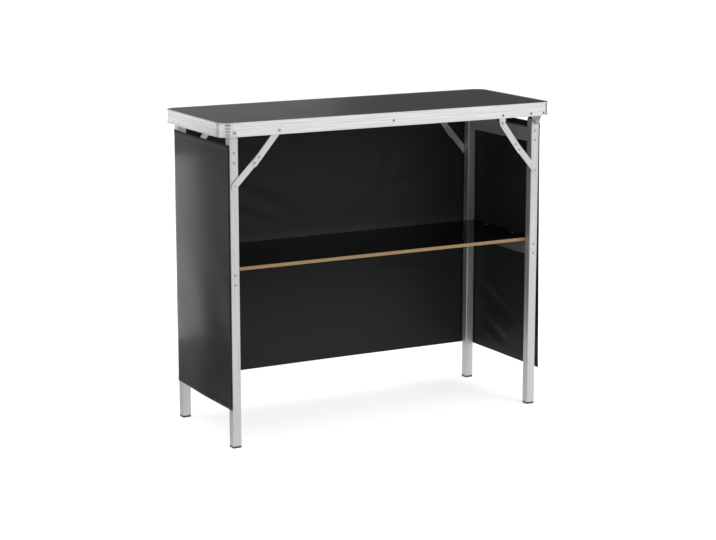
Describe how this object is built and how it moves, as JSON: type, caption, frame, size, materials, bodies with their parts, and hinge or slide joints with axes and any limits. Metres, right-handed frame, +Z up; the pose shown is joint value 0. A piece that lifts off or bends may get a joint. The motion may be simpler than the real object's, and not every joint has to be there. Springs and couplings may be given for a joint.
{
  "type": "folding portable bar",
  "caption": "Portable bar counter with a rimmed black top on leg frames that fold flat under it, knee braces, a lift-out shelf and a cloth skirt on the guests' sides.",
  "frame": {"origin": "on the floor under the middle of the top", "axes": "+X along the top to the user's right, +Y from the user towards the guests, +Z up"},
  "size_m": [1.04, 0.39, 0.89],
  "materials": {
    "aluminium": "satin anodised",
    "zinc_steel": "zinc plated",
    "black_plastic": "moulded",
    "table_top": "fibreboard with a satin black laminate",
    "shelf": "fibreboard with a gloss black laminate and raw edges",
    "skirt": "black woven polyester"
  },
  "bodies": {
    "top": {"table_top": "table_top", "centre_stiffener": "zinc_steel", "rail_front": "aluminium", "rail_back": "aluminium", "rail_left": "aluminium", "rail_right": "aluminium", "rail_corner_front_left": "aluminium", "rail_corner_back_left": "aluminium", "rail_corner_front_right": "aluminium", "rail_corner_back_right": "aluminium", "hinge_pin_front_left": "zinc_steel", "hinge_pin_back_left": "zinc_steel", "hinge_pin_front_right": "zinc_steel", "hinge_pin_back_right": "zinc_steel", "brace_rail_pin_front_left": "zinc_steel", "brace_rail_pin_back_left": "zinc_steel", "brace_rail_pin_front_right": "zinc_steel", "brace_rail_pin_back_right": "zinc_steel", "leg_bracket_front_right": "aluminium", "leg_bracket_back_right": "aluminium", "brace_bracket_front_right": "aluminium", "brace_bracket_back_right": "aluminium"},
    "left_legs": {"leg_front_left": "aluminium", "leg_back_left": "aluminium", "leg_plug_front_left": "black_plastic", "leg_plug_back_left": "black_plastic", "foot_front_left": "black_plastic", "foot_back_left": "black_plastic", "brace_leg_pin_front_left": "zinc_steel", "brace_leg_pin_back_left": "zinc_steel", "cross_tube_left": "aluminium"},
    "brace_upper_front_left": {"brace_upper_front_left": "aluminium"},
    "brace_lower_front_left": {"brace_lower_front_left": "aluminium"},
    "brace_upper_back_left": {"brace_upper_back_left": "aluminium"},
    "brace_lower_back_left": {"brace_lower_back_left": "aluminium"},
    "right_legs": {"leg_front_right": "aluminium", "leg_back_right": "aluminium", "leg_plug_front_right": "black_plastic", "leg_plug_back_right": "black_plastic", "foot_front_right": "black_plastic", "foot_back_right": "black_plastic", "brace_leg_pin_front_right": "zinc_steel", "brace_leg_pin_back_right": "zinc_steel", "cross_tube_right": "aluminium"},
    "brace_upper_front_right": {"brace_upper_front_right": "aluminium"},
    "brace_lower_front_right": {"brace_lower_front_right": "aluminium"},
    "brace_upper_back_right": {"brace_upper_back_right": "aluminium"},
    "brace_lower_back_right": {"brace_lower_back_right": "aluminium"},
    "shelf": {"shelf": "shelf", "shelf_bearer_left": "aluminium", "shelf_bearer_right": "aluminium"},
    "skirt": {"skirt": "skirt"}
  },
  "joints": [
    {"name": "left_leg_fold", "type": "hinge", "parent": "top", "child": "left_legs", "pos_m": [-0.4783, 0, 0.8631], "axis": [0, -1, 0], "range_deg": [0, 90]},
    {"name": "brace_upper_front_left_turn", "type": "hinge", "parent": "top", "child": "brace_upper_front_left", "pos_m": [-0.3483, -0.18895, 0.8631], "axis": [0, -1, 0], "range_deg": [-49.75, 0]},
    {"name": "brace_lower_front_left_turn", "type": "hinge", "parent": "left_legs", "child": "brace_lower_front_left", "pos_m": [-0.4783, -0.18715, 0.7211], "axis": [0, -1, 0], "range_deg": [0, 44.43]},
    {"name": "brace_upper_back_left_turn", "type": "hinge", "parent": "top", "child": "brace_upper_back_left", "pos_m": [-0.3483, 0.18895, 0.8631], "axis": [0, -1, 0], "range_deg": [-49.75, 0]},
    {"name": "brace_lower_back_left_turn", "type": "hinge", "parent": "left_legs", "child": "brace_lower_back_left", "pos_m": [-0.4783, 0.18715, 0.7211], "axis": [0, -1, 0], "range_deg": [0, 44.43]},
    {"name": "right_leg_fold", "type": "hinge", "parent": "top", "child": "right_legs", "pos_m": [0.4693, 0, 0.8371], "axis": [0, 1, 0], "range_deg": [0, 90]},
    {"name": "brace_upper_front_right_turn", "type": "hinge", "parent": "top", "child": "brace_upper_front_right", "pos_m": [0.3543, -0.18895, 0.8371], "axis": [0, 1, 0], "range_deg": [-53.37, 0]},
    {"name": "brace_lower_front_right_turn", "type": "hinge", "parent": "right_legs", "child": "brace_lower_front_right", "pos_m": [0.4693, -0.18715, 0.6961], "axis": [0, 1, 0], "range_deg": [0, 41.13]},
    {"name": "brace_upper_back_right_turn", "type": "hinge", "parent": "top", "child": "brace_upper_back_right", "pos_m": [0.3543, 0.18895, 0.8371], "axis": [0, 1, 0], "range_deg": [-53.37, 0]},
    {"name": "brace_lower_back_right_turn", "type": "hinge", "parent": "right_legs", "child": "brace_lower_back_right", "pos_m": [0.4693, 0.18715, 0.6961], "axis": [0, 1, 0], "range_deg": [0, 41.13]},
    {"name": "shelf_lift", "type": "slide", "parent": "top", "child": "shelf", "axis": [0, 0, 1], "range_m": [0, 0.25]},
    {"name": "skirt_pull_off", "type": "slide", "parent": "top", "child": "skirt", "axis": [0, 1, 0], "range_m": [0, 0.45]}
  ],
  "couplings": [
    {"joint": "brace_upper_front_left_turn", "follows": "left_leg_fold", "ratio": -0.55274},
    {"joint": "brace_lower_front_left_turn", "follows": "left_leg_fold", "ratio": 0.49371},
    {"joint": "brace_upper_back_left_turn", "follows": "left_leg_fold", "ratio": -0.55274},
    {"joint": "brace_lower_back_left_turn", "follows": "left_leg_fold", "ratio": 0.49371},
    {"joint": "brace_upper_front_right_turn", "follows": "right_leg_fold", "ratio": -0.593},
    {"joint": "brace_lower_front_right_turn", "follows": "right_leg_fold", "ratio": 0.45699},
    {"joint": "brace_upper_back_right_turn", "follows": "right_leg_fold", "ratio": -0.593},
    {"joint": "brace_lower_back_right_turn", "follows": "right_leg_fold", "ratio": 0.45699}
  ]
}
